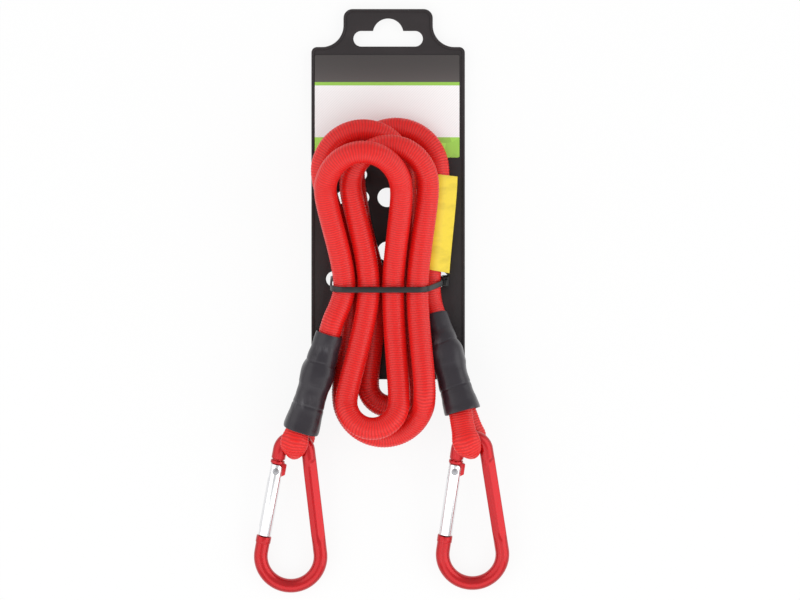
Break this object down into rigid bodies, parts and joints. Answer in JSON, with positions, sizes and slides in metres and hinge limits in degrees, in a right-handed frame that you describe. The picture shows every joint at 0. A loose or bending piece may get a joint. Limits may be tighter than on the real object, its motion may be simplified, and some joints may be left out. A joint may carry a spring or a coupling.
{
  "type": "bungee cord",
  "caption": "Elastic cord wound into a tied hank on a hang card, with a sleeved eye at each end that carries a pear-shaped carabiner with a sprung gate.",
  "frame": {"origin": "middle of the whole object's footprint, on the surface that the card lies on", "axes": "+Y up the card from the carabiners to the hang slot, +Z out of the card's front, +X to the right of someone who faces the front"},
  "size_m": [0.1127, 0.2581, 0.0468],
  "materials": {
    "red_braid": "ribbed woven braid, soft sheen",
    "rubber_core": "pale latex, matt",
    "black_shrink": "dark grey shrink tube, satin",
    "red_anodised": "red anodised, glossy",
    "bright_aluminium": "polished",
    "steel": "plain bright steel",
    "black_plastic": "moulded, fine satin",
    "printed_card": "coated card, plain coloured fields",
    "tie_plastic": "black nylon",
    "yellow_vinyl": "thin film, satin"
  },
  "bodies": {
    "hank": {"cord_cover": "red_braid", "cord_core": "rubber_core", "left_eye_cover": "red_braid", "left_eye_core": "rubber_core", "left_sleeve": "black_shrink", "left_clamp": "steel", "right_eye_cover": "red_braid", "right_eye_core": "rubber_core", "right_sleeve": "black_shrink", "right_clamp": "steel", "hang_card": "black_plastic", "card_insert": "printed_card", "cable_tie": "tie_plastic", "flag_tag": "yellow_vinyl"},
    "left_carabiner": {"left_frame": "red_anodised"},
    "left_gate": {"left_gate": "bright_aluminium", "left_gate_pin": "steel", "left_spring": "steel"},
    "left_plunger": {"left_plunger": "steel"},
    "right_carabiner": {"right_frame": "red_anodised"},
    "right_gate": {"right_gate": "bright_aluminium", "right_gate_pin": "steel", "right_spring": "steel"},
    "right_plunger": {"right_plunger": "steel"}
  },
  "joints": [
    {"name": "left_swing", "type": "hinge", "parent": "hank", "child": "left_carabiner", "pos_m": [-0.0388, -0.06689, 0.012], "axis": [-0.0051, -0.147, 0.9891], "range_deg": [-30, 30]},
    {"name": "left_gate_hinge", "type": "hinge", "parent": "left_carabiner", "child": "left_gate", "pos_m": [-0.04673, -0.0751, 0.01074], "axis": [-0.0051, -0.147, 0.9891], "range_deg": [0, 28], "stiffness_Nm_per_rad": 0.05, "springref_deg": -20.05},
    {"name": "left_plunger_slide", "type": "slide", "parent": "left_gate", "child": "left_plunger", "axis": [-0.1809, -0.9727, -0.1455], "range_m": [0, 0.0006], "deforming": ["left_spring"]},
    {"name": "right_swing", "type": "hinge", "parent": "hank", "child": "right_carabiner", "pos_m": [0.03954, -0.06644, 0.01609], "axis": [0.0019, -0.215, 0.9766], "range_deg": [-30, 30]},
    {"name": "right_gate_hinge", "type": "hinge", "parent": "right_carabiner", "child": "right_gate", "pos_m": [0.03198, -0.07488, 0.01425], "axis": [0.0019, -0.215, 0.9766], "range_deg": [0, 28], "stiffness_Nm_per_rad": 0.05, "springref_deg": -20.05},
    {"name": "right_plunger_slide", "type": "slide", "parent": "right_gate", "child": "right_plunger", "axis": [-0.1384, -0.9673, -0.2126], "range_m": [0, 0.0006], "deforming": ["right_spring"]}
  ],
  "couplings": [
    {"joint": "left_plunger_slide", "follows": "left_gate_hinge", "m_per_rad": 0.0012},
    {"joint": "right_plunger_slide", "follows": "right_gate_hinge", "m_per_rad": 0.0012}
  ]
}
